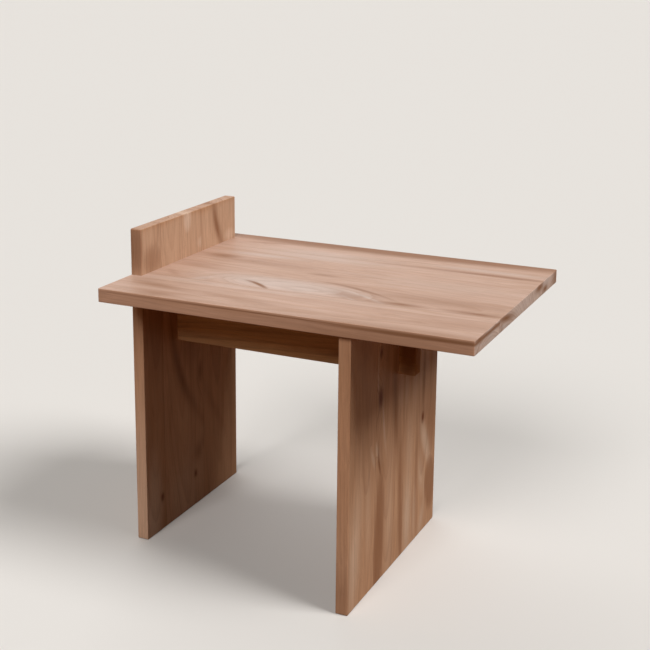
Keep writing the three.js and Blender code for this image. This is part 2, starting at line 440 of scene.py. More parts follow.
def make_glue_group():
    tree, given, result = new_tree("glue_line", {
        "Vector": "Vector", "First Joint": 0.0, "Second Joint": 0.0, "Half Width": 0.5}, {"Mask": "Float"})
    across = split(given["Vector"])["Y"]
    first, second = [calc("ABSOLUTE", minus(across, given[name])) for name in ("First Joint", "Second Joint")]
    nearest = ratio(calc("MINIMUM", first, second), given["Half Width"])
    plug(result["Mask"], ramp(nearest, *GLUE_RANGE))
    return tree


END_GROUP = counted(make_end_group())
GLUE_GROUP = counted(make_glue_group())

# %% [markdown]
# Each slab has its own grain frame, in millimetres: X runs along the grain from one end, Y across the
# boards from the near side, and Z through the thickness. A Mapping node in texture mode moves and turns
# Object coordinates into that frame. The corners come from the CAD boxes.

# %% Grain frames of the slabs
SIDES = ("near", "middle", "far")
SLAB_NODES = {name: [f"{name}_board_{side}" for side in SIDES] for name in ("top", "left_leg", "right_leg")}
SLAB_NODES["stretcher"] = ["stretcher"]


def outer_corners(points):
    """The lowest and the highest corner of the box round some points."""
    return [Vector([pick(point[axis] for point in points) for axis in range(3)]) for pick in (min, max)]


SLAB_BOX = {name: outer_corners([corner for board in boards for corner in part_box(board)])
            for name, boards in SLAB_NODES.items()}
TOP_LOW, TOP_HIGH = SLAB_BOX["top"]
LEFT_LOW, LEFT_HIGH = SLAB_BOX["left_leg"]
RIGHT_LOW, RIGHT_HIGH = SLAB_BOX["right_leg"]
TIE_LOW = SLAB_BOX["stretcher"][0]
BENCH_PLACE = {
    "top": Vector((TOP_LOW.x, TOP_LOW.y, TOP_HIGH.z)),
    "left_leg": Vector((LEFT_HIGH.x, LEFT_LOW.y, LEFT_LOW.z)),
    "right_leg": Vector((RIGHT_HIGH.x, RIGHT_LOW.y, RIGHT_LOW.z)),
    "stretcher": Vector((LEFT_HIGH.x, TIE_LOW.y, TIE_LOW.z)),
}
FLAT, UPRIGHT, ON_EDGE = (0, 0, 0), (0, -QUARTER, 0), (QUARTER, 0, 0)
BENCH_TURN = {"top": FLAT, "left_leg": UPRIGHT, "right_leg": UPRIGHT, "stretcher": ON_EDGE}


def bench_matrix(slab):
    """Takes a slab from where it lies flat on the bench to its place in the table."""
    turn = Matrix.Rotation(BENCH_TURN[slab][0], 4, "X") @ Matrix.Rotation(BENCH_TURN[slab][1], 4, "Y")
    return Matrix.Translation(BENCH_PLACE[slab]) @ turn


def on_bench(slab, box):
    """A box in the table, as a box on the slab's bench."""
    back = bench_matrix(slab).inverted()
    return outer_corners([back @ Vector(corner) for corner in box])


def grain_vector(tree, place, turn):
    """Object coordinates, moved and turned into a grain frame and given in millimetres."""
    vector = node(tree, "ShaderNodeTexCoord").outputs["Object"]
    inputs = {"Vector": vector, "Location": place, "Rotation": turn, "Scale": (MM, MM, MM)}
    return node(tree, "ShaderNodeMapping", inputs, vector_type="TEXTURE").outputs[0]


for name, slab_box in SLAB_BOX.items():
    print(name, "on the bench, in mm:", *[in_mm(corner) for corner in on_bench(name, slab_box)])

# %% [markdown]
# The next group turns all of this into a colour, a roughness and a height. One layer after another
# tints the ground colour: streaks, sawn edges and board ends, then the marks, and over them the rings,
# pores, knots and glue. Oiled wood is satin, and its dense late wood shines a little more than the rest.

# %% A group for oiled wood
PALETTE = {
    "Ground": colour(201, 168, 150), "Streaks": colour(178, 140, 115), "Late Wood": colour(156, 114, 88),
    "Pale": colour(208, 190, 180), "Brown": colour(140, 98, 70), "Knot": colour(80, 46, 26),
    "Edge": colour(196, 144, 110), "End": colour(222, 200, 186),
}
YEAR_TINT, PORE_TINT, GLUE_TINT = 0.3, 0.28, 0.45
FIBRE_LIGHT, LEAST_LIGHT = 0.5, 0.75
STREAK_RANGE, CLOUD_RANGE = (0.4, 0.68), (0.36, 0.64)
BARE_ROUGHNESS = 0.46
ROUGHER = {"Fibre": 0.12, "Late Wood": -0.12, "End": 0.2, "Pore": 0.15}
HIGHER = {"Fibre": 0.02, "Late Wood": 0.03, "Pore": -0.05, "Glue": -0.06}


def placed(group, inputs):
    """Places a node group, and gives its outputs."""
    return node(tree_of(inputs.values()), "ShaderNodeGroup", inputs, node_tree=group).outputs


def weighed(total, masks, weights):
    """A start value, plus each mask times its weight."""
    for name, weight in weights.items():
        total = calc("MULTIPLY_ADD", masks[name], weight, total)
    return total


def make_wood_group():
    tree, given, result = new_tree("oiled_wood", {
        "Vector": "Vector", "Normal": "Vector", "Depth": 0.0, "Grain Axis": "Vector", "Edge Axis": "Vector",
        **PALETTE, "Pale Mask": 0.0, "Brown Mask": 0.0, "Knot Mask": 0.0, "Glue Line": 0.0,
        "Ring Width": 4.0, "Ring Contrast": 0.4, "Streak Width": 9.0, "Streak Contrast": 0.5,
        "Cloud Contrast": 0.3, "Edge Share": 0.6, "End Share": 0.8, "End Rings": 0.4, "Seed": 0.0,
    }, {"Color": "Color", "Roughness": "Float", "Height": "Float"})
    ring = placed(RING_GROUP, {name: given[name] for name in ("Depth", "Ring Width", "Seed")})
    grain = placed(FIBRE_GROUP, {name: given[name] for name in ("Vector", "Streak Width", "Seed")})
    end, edge = [placed(END_GROUP, {"Normal": given["Normal"], "Grain Axis": given[axis]})["Mask"]
                 for axis in ("Grain Axis", "Edge Axis")]
    contrast = calc("MULTIPLY_ADD", end, given["End Rings"], given["Ring Contrast"])
    late = times(ring["Late Wood"], contrast)
    year = times(times(ring["Ring Tone"], contrast), YEAR_TINT)
    streak = times(ramp(grain["Streak"], *STREAK_RANGE), given["Streak Contrast"])
    cloud = times(ramp(grain["Cloud"], *CLOUD_RANGE), given["Cloud Contrast"])
    layers = [
        (larger(streak, cloud), "Streaks"),
        (times(edge, given["Edge Share"]), "Edge"),
        (times(end, given["End Share"]), "End"),
        (year, "Late Wood"),
        (given["Pale Mask"], "Pale"),
        (given["Brown Mask"], "Brown"),
        (late, "Late Wood"),
        (times(grain["Pore"], PORE_TINT), "Brown"),
        (given["Knot Mask"], "Knot"),
        (times(given["Glue Line"], GLUE_TINT), "Knot"),
    ]
    shade = given["Ground"]
    for share, name in layers:
        shade = tint(share, shade, given[name])
    light = calc("MULTIPLY_ADD", grain["Fibre"], FIBRE_LIGHT, LEAST_LIGHT)
    plug(result["Color"], scaled(shade, light))
    masks = {"Fibre": grain["Fibre"], "Pore": grain["Pore"], "Late Wood": late, "End": end,
             "Glue": given["Glue Line"]}
    plug(result["Roughness"], weighed(BARE_ROUGHNESS, masks, ROUGHER))
    plug(result["Height"], weighed(0.0, masks, HIGHER))
    return tree


WOOD_GROUP = counted(make_wood_group())

# %% [markdown]
# A mark is written as one call that names its kind. Pale and brown marks tint the wood, a knot darkens
# it, and a rings mark brings the rings out. Lift bends the rings round the mark. A mark on an edge or
# an end is placed by its depth below the face, so the coordinates are turned first, and a mark on an end
# shows only where the surface is end grain.

# %% Marks on a board
SIDE_TURNS = {"face": FLAT, "edge": ON_EDGE, "end": (QUARTER, QUARTER, 0)}
KINDS = ("pale", "brown", "knot", "rings")


def mark(kind, x, y, length, width, amount, turn=0, bend=0, lift=0, firm=1, fray=0.25, side="face"):
    """One mark, placed in bench millimetres. The turn is in degrees."""
    oval = {"Place": (x, y, 0.0), "Length": length, "Width": width, "Turn": -math.radians(turn), "Bend": bend,
            "Firmness": firm, "Fray": fray}
    return {"kind": kind, "amount": amount, "lift": lift, "side": side, "oval": oval}


def draw_marks(marks, vector, end, depth):
    """A mask for each kind of mark, and the depth with the rings bent round the marks."""
    tree = vector.id_data
    places = {side: node(tree, "ShaderNodeMapping", {"Vector": vector, "Rotation": turn}).outputs[0]
              for side, turn in SIDE_TURNS.items()}
    masks = dict.fromkeys(KINDS, 0.0)
    for one in marks:
        mask = placed(MARK_GROUP, {"Vector": places[one["side"]], **one["oval"]})["Mask"]
        if one["side"] == "end":
            mask = times(mask, end)
        strength = times(mask, one["amount"])
        masks[one["kind"]] = larger(masks[one["kind"]], strength)
        if one["lift"]:
            depth = calc("MULTIPLY_ADD", mask, one["lift"], depth)
    return masks, depth


pale, brown, knot, rings = [partial(mark, kind) for kind in KINDS]
print("kinds of mark:", *KINDS)

# %% [markdown]
# A board's material is now a short recipe: its grain frame, the depth in the log, the marks, the glue
# lines and the oiled wood group, all into one Principled shader. The gloss is one number, so it is
# set on the shader itself.

# %% A recipe for board materials
WOOD_RELIEF = 0.6
OUT_OF_REACH = (-100.0, 1000.0)
BOARD_MATERIALS = {}


def finish_shader(tree, look, relief, gloss):
    """Ends a material in one Principled shader, from a look's colour, roughness and height."""
    bump = node(tree, "ShaderNodeBump", {"Strength": relief, "Distance": MM, "Height": look["Height"]})
    shader = node(tree, "ShaderNodeBsdfPrincipled", {
        "Base Color": look["Color"], "Roughness": look["Roughness"], "Specular IOR Level": gloss,
        "Normal": bump.outputs["Normal"]})
    node(tree, "ShaderNodeOutputMaterial", {"Surface": shader.outputs[0]})


def board_material(name, slab, joints, palette, gloss, pith, lean, seed, ring, contrast, marks):
    """One board's material. Pith and lean place the log, and ring is the width of its rings."""
    material = new_material(name)
    tree = material.node_tree
    vector = grain_vector(tree, BENCH_PLACE[slab], BENCH_TURN[slab])
    normal = node(tree, "ShaderNodeTexCoord").outputs["Normal"]
    turn = bench_matrix(slab).to_3x3()
    grain_axis, edge_axis = turn.col[0], turn.col[1]
    end = placed(END_GROUP, {"Normal": normal, "Grain Axis": grain_axis})["Mask"]
    depth = placed(DEPTH_GROUP, {
        "Vector": vector, "Pith Across": pith[0], "Pith Below": pith[1], "Lean Across": lean[0],
        "Lean Down": lean[1], "Seed": seed})["Depth"]
    masks, depth = draw_marks(marks, vector, end, depth)
    if masks["rings"]:
        contrast = plus(masks["rings"], contrast)
    glue = placed(GLUE_GROUP, {"Vector": vector, "First Joint": joints[0], "Second Joint": joints[1]})
    look = placed(WOOD_GROUP, {
        "Vector": vector, "Normal": normal, "Depth": depth, "Grain Axis": grain_axis, "Edge Axis": edge_axis,
        **palette, "Pale Mask": masks["pale"], "Brown Mask": masks["brown"], "Knot Mask": masks["knot"],
        "Glue Line": glue["Mask"], "Ring Width": ring, "Ring Contrast": contrast, "Seed": seed})
    finish_shader(tree, look, WOOD_RELIEF, gloss)
    return material


def slab_materials(slab, palette, gloss, recipes):
    """A material for each board of a slab, from the near board to the far one."""
    joints = [on_bench(slab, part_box(board))[1].y / MM for board in SLAB_NODES[slab][:-1]]
    lines = [OUT_OF_REACH[0], *joints, OUT_OF_REACH[1]]
    for board, first, second, recipe in zip(SLAB_NODES[slab], lines, lines[1:], recipes):
        name = board.replace("_board", "") + "_wood"
        BOARD_MATERIALS[board] = board_material(name, slab, (first, second), palette, gloss, **recipe)
    print(slab, "has glue joints", [round(joint, 1) for joint in joints], "mm from its near edge")


print("a board's material takes", len(PALETTE), "colours")

# %% [markdown]
# The top's three boards are flat-sawn. The middle one has a long pale eye of figure left of its centre
# and a pale tongue that runs over the far joint. Small brown marks lie along the near joint, and the far
# edge is darker. A dark band of grain runs along the near edge.

# %% Materials for the top
TOP_GLOSS = 0.06
slab_materials("top", PALETTE, TOP_GLOSS, [
    dict(pith=(30, 60), lean=(0.05, 0.02), seed=3, ring=4.5, contrast=0.34, marks=[
        brown(62, 47, 46, 9, 0.5, turn=-10), brown(82, 14, 40, 11, 0.6),
        brown(195, 33, 52, 11, 0.34, turn=-6), brown(390, 5, 150, 11, 0.42), brown(455, 50, 48, 12, 0.22),
        brown(415, 41, 17, 5, 0.3), pale(160, 84, 190, 7, 0.3), brown(240, 3.2, 250, 1.1, 0.9, side="edge"),
        brown(440, 4.4, 160, 3, 1, firm=1.5, side="edge"), brown(16, 3, 26, 5, 1, side="end"),
        pale(58, 6, 12, 9, 0.9, side="end"), pale(32, 12, 26, 1.4, 0.9, turn=10, side="end")]),
    dict(pith=(140, 74), lean=(-0.05, 0.04), seed=7, ring=5, contrast=0.34, marks=[
        pale(208, 121, 112, 28, 0.7, lift=20, turn=-2, firm=1.8, fray=0.2),
        rings(250, 122, 118, 30, 0.5, turn=-4), pale(95, 108, 22, 9, 0.5, turn=50),
        brown(173, 109, 26, 3.8, 1, turn=-33, bend=-3, firm=1.6),
        brown(305, 141, 55, 3.6, 0.8, turn=-21, bend=-5), brown(300, 110, 32, 12, 0.42, turn=-24, firm=1.5),
        pale(312, 119, 46, 3.6, 0.75, turn=-28, bend=-4), pale(298, 103, 36, 3, 0.6, turn=-32),
        brown(372, 102, 27, 6, 0.9, fray=0.5), brown(470, 102, 36, 6.5, 0.85, fray=0.5),
        brown(425, 134, 105, 17, 0.38, fray=0.5), brown(60, 224, 27, 11, 0.7, fray=0.5),
        brown(125, 214, 80, 12, 0.4, turn=-4, fray=0.5), brown(230, 188, 23, 5, 0.5),
        brown(50, 163, 34, 14, 0.28), brown(45, 112, 22, 6, 0.26, turn=-40),
        pale(185, 274, 98, 15, 0.49, turn=-2, fray=0.3), pale(110, 252, 56, 8, 0.55),
        pale(400, 205, 110, 26, 0.18), brown(430, 285, 84, 4.5, 0.75),
        brown(118, 5, 36, 5, 1, turn=9, side="end"), pale(112, 13, 22, 2.4, 1, turn=9, side="end"),
        pale(200, 8, 40, 9, 0.5, side="end"), brown(270, 4, 20, 6, 1, side="end")]),
    dict(pith=(330, 50), lean=(0.04, 0.02), seed=12, ring=4, contrast=0.36, marks=[
        brown(260, 353, 340, 25, 0.9, firm=2.5, fray=0.5), brown(430, 287, 84, 4.5, 0.75),
        pale(185, 294, 92, 15, 0.42, fray=0.3), pale(430, 304, 90, 7, 0.4),
        brown(72, 320, 44, 6, 0.38, turn=14), brown(285, 334, 30, 9, 0.3, turn=-20),
        brown(500, 345, 14, 16, 0.35), brown(298, 12, 12, 4.5, 1, side="end"),
        pale(304, 4, 18, 4.5, 0.9, side="end")]),
])

# %% [markdown]
# The legs are browner. The right leg has knots beside its first joint, with the rings bent round them,
# a dark band that grows wider down that joint, and a dark streak that runs into the second joint. Pale
# streaks 245 to 285 mm up on its middle and far boards are painted light, which lightens the shade that
# the top's overhang casts on the leg's outer face.

# %% Materials for the right leg
LEG_GLOSS = 0.02
LEG_PALETTE = {
    "Ground": colour(199, 154, 120), "Streaks": colour(176, 128, 93), "Late Wood": colour(148, 101, 71),
    "Pale": colour(212, 179, 152), "Brown": colour(126, 77, 45), "Knot": colour(112, 56, 20),
    "Edge": colour(195, 146, 113), "End": colour(199, 165, 145),
}
slab_materials("right_leg", LEG_PALETTE, LEG_GLOSS, [
    dict(pith=(45, -60), lean=(0.06, 0.05), seed=21, ring=4.8, contrast=0.42, marks=[
        pale(68, 20, 80, 16, 0.75, turn=6, fray=0.5), brown(25, 0, 45, 5, 0.4),
        rings(252, 95, 36, 22, 0.5, lift=14), brown(322, 40, 56, 26, 0.34, fray=0.5),
        pale(120, 62, 60, 9, 0.3), pale(178, 76, 18, 4, 0.7, turn=-28, lift=8)]),
    dict(pith=(130, -45), lean=(-0.06, 0.07), seed=26, ring=4.4, contrast=0.46, marks=[
        brown(50, 98, 108, 17, 0.62, turn=3, firm=3, fray=0.4), knot(252, 98, 14, 8, 1, firm=1.5, fray=0.5),
        rings(252, 97, 36, 22, 0.5, lift=14), knot(312, 97, 9, 5, 0.9, firm=1.3, lift=9),
        pale(292, 88, 42, 2.4, 0.9, bend=4), pale(218, 109, 42, 3.2, 0.85, turn=-9, bend=3),
        pale(184, 89, 15, 5, 0.9, turn=-28, lift=8), brown(166, 96, 28, 3.6, 0.85, turn=-14, bend=4),
        # Painted light: the pale streak 247 mm up lightens the overhang's shade.
        brown(222, 151, 66, 9, 0.72, turn=-7, fray=0.5), pale(247, 170, 30, 10, 0.6, fray=0.5),
        brown(80, 174, 118, 8, 0.58, turn=-3, firm=1.4), pale(70, 134, 90, 13, 0.35),
        brown(300, 120, 50, 14, 0.3)]),
    dict(pith=(250, -60), lean=(0.07, 0.06), seed=31, ring=4.6, contrast=0.42, marks=[
        pale(48, 202, 66, 14, 0.85, fray=0.4), pale(140, 204, 60, 13, 0.4, fray=0.4),
        # Painted light: the pale streaks 248, 252 and 254 mm up lighten the overhang's shade.
        pale(248, 190, 36, 9, 0.7, fray=0.5), pale(44, 228, 40, 7, 0.5, fray=0.5),
        pale(252, 243, 34, 8, 0.7, fray=0.5), pale(254, 268, 30, 8, 0.5, fray=0.5),
        knot(173, 255, 8, 5, 1, firm=1.4, lift=10), rings(173, 255, 32, 17, 0.5),
        pale(132, 268, 42, 12, 0.95, turn=-28, firm=1.5), pale(92, 252, 30, 10, 0.6, turn=-10),
        brown(64, 290, 42, 21, 0.55, turn=-4, firm=4), pale(66, 266, 42, 2.2, 0.6, bend=5),
        brown(226, 256, 40, 5, 0.75, fray=0.4), brown(158, 291, 56, 20, 0.4, turn=-6, firm=1.5, fray=0.4),
        # Painted light: the pale mark 284 mm up lightens the overhang's shade on the far board.
        pale(284, 224, 70, 13, 0.8), pale(262, 298, 46, 8, 0.4), pale(18, 258, 26, 9, 0.6, turn=20),
        brown(118, 234, 80, 6, 0.42)]),
])

# %% [markdown]
# The left leg has one long curved streak, a faint eye, and a second streak across its lip. Low down at
# its near edge the wood is paler. A pale band 404 mm up on every board is painted light on the lip,
# which stands in the light above the top. A brown patch high on the near board, under the top, and a
# brown streak low on the far board are painted shade.

# %% Materials for the left leg
LEFT_PALETTE = {**LEG_PALETTE, "Pale": colour(224, 194, 170)}
slab_materials("left_leg", LEFT_PALETTE, LEG_GLOSS, [
    dict(pith=(20, -55), lean=(0.04, 0.05), seed=41, ring=4.6, contrast=0.42, marks=[
        # Painted light: the pale band 404 mm up lightens the lip.
        brown(394, 28, 20, 27, 0.45, firm=1.8, fray=0.7), pale(404, 20, 35, 130, 0.36, firm=6),
        brown(412, -2, 40, 6, 0.6, firm=2), knot(48, 40, 6, 4, 0.9, lift=8),
        pale(42, 19, 74, 19, 0.85, firm=1.6, fray=0.4), pale(60, 0, 150, 4, 0.42),
        # Painted shade: the brown patch 280 mm up darkens the inner face under the top.
        brown(300, 47, 140, 6, 0.35), brown(280, 30, 66, 32, 0.36, firm=1.5, fray=0.5)]),
    dict(pith=(110, -50), lean=(-0.08, 0.06), seed=46, ring=4.4, contrast=0.44, marks=[
        pale(430, 119, 20, 12, 0.95, firm=1.5), pale(392, 158, 12, 20, 0.7),
        # Painted light: the pale band 404 mm up lightens the lip.
        pale(404, 100, 35, 130, 0.36, firm=6), brown(215, 92, 82, 9, 0.8, turn=-24, bend=12, fray=0.5),
        rings(200, 147, 30, 13, 0.5, lift=14), brown(200, 147, 15, 6, 0.5),
        knot(48, 132, 6, 4, 0.9, lift=8), brown(80, 140, 14, 12, 0.5, fray=0.6),
        brown(88, 165, 12, 22, 0.4, fray=0.6), brown(130, 150, 40, 8, 0.25, turn=-40),
        pale(34, 96, 52, 44, 0.4, fray=0.6), brown(252, 120, 38, 18, 0.36, fray=0.5)]),
    dict(pith=(205, -60), lean=(-0.04, 0.04), seed=51, ring=4.8, contrast=0.4, marks=[
        brown(408, 201, 42, 7.5, 0.75, turn=-20, bend=5, fray=0.6), pale(386, 238, 14, 24, 0.7),
        # Painted light: the pale band 404 mm up lightens the lip. Painted shade: the brown streak 105 mm up
        # darkens the far strip of the inner face.
        pale(404, 230, 35, 130, 0.36, firm=6), brown(130, 190, 60, 8, 0.25, turn=-35),
        brown(105, 244, 105, 13, 0.34, fray=0.4)]),
])

# %% [markdown]
# The stretcher is yellower than the legs. It sits in deep shade under the top, and its right end, which
# comes out past the right leg, is darkened more with painted shade.

# %% Material for the stretcher
STRETCHER_PALETTE = {
    **LEG_PALETTE, "Ground": colour(226, 178, 128), "Pale": colour(240, 198, 148),
    "Edge": colour(205, 152, 112), "End": colour(196, 138, 88),
}
slab_materials("stretcher", STRETCHER_PALETTE, LEG_GLOSS, [
    dict(pith=(60, 50), lean=(0.03, 0.03), seed=61, ring=4.6, contrast=0.4, marks=[
        brown(120, 30, 90, 7, 0.4, turn=2), pale(90, 48, 120, 60, 0.6, firm=1.5),
        # Painted shade: the brown band 345 mm along darkens the end that comes out past the right leg.
        pale(250, 66, 70, 8, 0.35), brown(300, 14, 60, 6, 0.4), brown(345, 50, 14, 70, 0.8, firm=3)]),
])
print("materials:", len(bpy.data.materials))

# %% [markdown]
# The joinery is cut with solids that the maker would see as tools. Dowel bores are a little wider and
# deeper than the dowels. The tenon and its mortise have half-round ends, which is what a router leaves.

# %% Tools for the joinery
SIDE_GAP = 0.3 * MM
GLUE_ROOM = 1.0 * MM
OVERRUN = 5.0 * MM
ROUND_SIDES = 32
TENON_THICKNESS = 10.0 * MM
TENON_SHOULDER = 12.0 * MM
TENON_LENGTH = LEFT_HIGH.x - TIE_LOW.x
DOWELS = [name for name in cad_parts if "dowel" in name]


def add_block(mesh, low, high):
    """A box between two corners."""
    size = Matrix.Diagonal((high - low).to_4d())
    bmesh.ops.create_cube(mesh, size=1.0, matrix=Matrix.Translation((low + high) / 2) @ size)


def add_bore(mesh, low, high):
    """A round hole about a dowel's box, along its longest side."""
    size = high - low
    axis = max(range(3), key=lambda i: size[i])
    along = Vector([1.0 if i == axis else 0.0 for i in range(3)])
    radius = min(size) / 2 + SIDE_GAP
    turn = along.to_track_quat("Z", "Y").to_matrix().to_4x4()
    bmesh.ops.create_cone(
        mesh, cap_ends=True, segments=ROUND_SIDES, radius1=radius, radius2=radius,
        depth=size[axis] + 2 * GLUE_ROOM, matrix=Matrix.Translation((low + high) / 2) @ turn,
    )


def add_tenon(mesh, length, gap):
    """The tenon, or with a gap its mortise, on the stretcher's bench. It starts inside the stretcher."""
    low, high = on_bench("stretcher", SLAB_BOX["stretcher"])
    middle = (low.z + high.z) / 2
    radius = TENON_THICKNESS / 2 + gap
    ends = (low.y + TENON_SHOULDER + TENON_THICKNESS / 2, high.y - TENON_SHOULDER - TENON_THICKNESS / 2)
    outline = []
    for centre, start in ((ends[1], 0.0), (ends[0], math.pi)):
        for step in range(ROUND_SIDES // 2 + 1):
            turn = start + math.pi * step / (ROUND_SIDES // 2)
            outline.append((centre + radius * math.sin(turn), middle + radius * math.cos(turn)))
    first, second = [[mesh.verts.new((x, y, z)) for y, z in outline] for x in (-length, OVERRUN)]
    mesh.faces.new(first)
    mesh.faces.new(second[::-1])
    for i in range(len(outline)):
        j = (i + 1) % len(outline)
        mesh.faces.new((first[i], second[i], second[j], first[j]))


print("dowels:", len(DOWELS), "and a tenon", *in_mm([TENON_LENGTH]), "mm long")

# %% [markdown]
# Each slab gets one cutter that holds all that is cut out of it. The top gets a notch for the left leg,
# the right leg a slot for the stretcher, and the left leg a mortise. Every bore is added to every
# cutter, because one that misses the slab cuts nothing.

# %% A cutter for each slab
def new_object(name, mesh):
    """An object from a bmesh, with its faces turned outwards."""
    bmesh.ops.recalc_face_normals(mesh, faces=mesh.faces)
    data = bpy.data.meshes.new(name)
    mesh.to_mesh(data)
    mesh.free()
    return add_object(name, data)


def cutter_for(slab):
    """Everything that is cut out of a slab, on its bench."""
    mesh = bmesh.new()
    if slab == "left_leg":
        add_tenon(mesh, TENON_LENGTH + GLUE_ROOM, SIDE_GAP)
        mesh.transform(bench_matrix(slab).inverted() @ bench_matrix("stretcher"))
    for dowel in DOWELS:
        add_bore(mesh, *on_bench(slab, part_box(dowel)))
    low, high = on_bench(slab, SLAB_BOX[slab])
    gap = Vector((0, SIDE_GAP, 0))
    under, over = low.z - OVERRUN, high.z + OVERRUN
    block = None
    if slab == "top":
        leg_low, leg_high = on_bench(slab, SLAB_BOX["left_leg"])
        block = Vector((-OVERRUN, leg_low.y, under)), Vector((leg_high.x, leg_high.y, over))
    if slab == "right_leg":
        tie_low, tie_high = on_bench(slab, SLAB_BOX["stretcher"])
        block = Vector((tie_low.x, tie_low.y, under)), Vector((high.x + OVERRUN, tie_high.y, over))
    if block:
        add_block(mesh, block[0] - gap, block[1] + gap)
    return new_object(slab + "_cutter", mesh)


CUTTERS = {slab: cutter_for(slab) for slab in SLAB_NODES}
tenon_mesh = bmesh.new()
add_tenon(tenon_mesh, TENON_LENGTH, 0.0)
TENON = new_object("tenon", tenon_mesh)
print("cutter faces:", {slab: len(cutter.data.polygons) for slab, cutter in CUTTERS.items()})

# %% [markdown]
# Each board starts as a sawn blank: a box of fine faces in the slab's bench frame. The rows of points
# lie close together along the slab's own edges, where the sanding bends them, but not along glue joints.

# %% Sawn blanks
ARRIS = 1.0 * MM
CORNER_RADIUS = 2.0 * MM
ROW_PITCH = 9.0 * MM
SAME_PLACE = 0.001 * MM
EDGE_ROOM = 1.5


def edge_rows(radius):
    """Distances from an edge at which rows of points sit evenly once the edge is round."""
    return [0.0, *[radius * (1 - math.tan(math.radians(turn))) for turn in (30, 15)], radius]


ARRIS_ROWS = edge_rows(ARRIS)
PLANE_ROWS = sorted(set(ARRIS_ROWS + edge_rows(CORNER_RADIUS)))


def rows_between(start, end, slab_start, slab_end, near_edge, pitch):
    """Places of the rows from one end of a blank to the other, in rising order."""
    keep = max(near_edge) * EDGE_ROOM
    first = [start + d for d in near_edge] if abs(start - slab_start) < SAME_PLACE else [start]
    last = [end - d for d in near_edge] if abs(end - slab_end) < SAME_PLACE else [end]
    steps = max(2, round((end - start) / pitch))
    middle = [start + (end - start) * i / steps for i in range(1, steps)]
    middle = [m for m in middle if start + keep < m < end - keep]
    return sorted(first + middle + last)


def sawn_blank(name, low, high, slab_low, slab_high):
    """A closed box of fine faces between two corners."""
    near_edges = (PLANE_ROWS, PLANE_ROWS, ARRIS_ROWS)
    pitches = (ROW_PITCH, ROW_PITCH, ROW_PITCH / 2)
    rows = [rows_between(*places) for places in zip(low, high, slab_low, slab_high, near_edges, pitches)]
    mesh = bmesh.new()
    points = {}

    def point(index):
        if index not in points:
            points[index] = mesh.verts.new([rows[a][index[a]] for a in range(3)])
        return points[index]

    for axis in range(3):
        u, v = [a for a in range(3) if a != axis]
        ends = (0, len(rows[axis]) - 1)
        for side, i, j in product(ends, range(len(rows[u]) - 1), range(len(rows[v]) - 1)):
            corners = []
            for du, dv in ((0, 0), (1, 0), (1, 1), (0, 1)):
                index = [side] * 3
                index[u] = i + du
                index[v] = j + dv
                corners.append(point(tuple(index)))
            mesh.faces.new(corners)
    return new_object(name, mesh)


print("rows near an edge, in mm:", in_mm(PLANE_ROWS, 2))

# %% [markdown]
# Geometry Nodes do the bench work on each blank. The tree joins the tenon, cuts the joinery with a
# boolean, and then sands: every point near the slab's outline moves onto a round corner and a round
# arris. Hand planing leaves a slab slightly uneven, so a slow noise moves its faces by up to a tenth of
# a millimetre.

# %% A tree that sands a slab
RIPPLE_DEPTH = 0.2 * MM
RIPPLE_LENGTH = 75.0 * MM
WELD = 0.005 * MM
CREASE = math.radians(30)
IN_PLANE = (1.0, 1.0, 0.0)
NEARLY_ZERO = 1e-7


def sanded_place(place, given):
    """Moves points near the slab's outline onto its round corners and arrises."""
    radius = join(given["Corner Radius"], given["Corner Radius"], given["Arris"])
    core = vcalc("MINIMUM", place, vcalc("SUBTRACT", given["Slab High"], radius))
    core = vcalc("MAXIMUM", core, vcalc("ADD", given["Slab Low"], radius))
    outside = vcalc("SUBTRACT", place, core)
    direction = vcalc("NORMALIZE", vcalc("MULTIPLY", outside, IN_PLANE))
    part = split(outside)
    reach = larger(calc("ABSOLUTE", part["X"]), calc("ABSOLUTE", part["Y"]))
    inner = minus(given["Corner Radius"], given["Arris"])
    over = larger(minus(reach, inner), 0.0)
    slope = calc("SQRT", squares(over, part["Z"]))
    shrink = ratio(given["Arris"], larger(slope, NEARLY_ZERO))
    shrink = calc("MINIMUM", shrink, 1.0)
    new_reach = plus(minus(reach, over), times(over, shrink))
    rise = join(0.0, 0.0, times(part["Z"], shrink))
    return vcalc("ADD", vcalc("ADD", core, scaled(direction, new_reach)), rise)


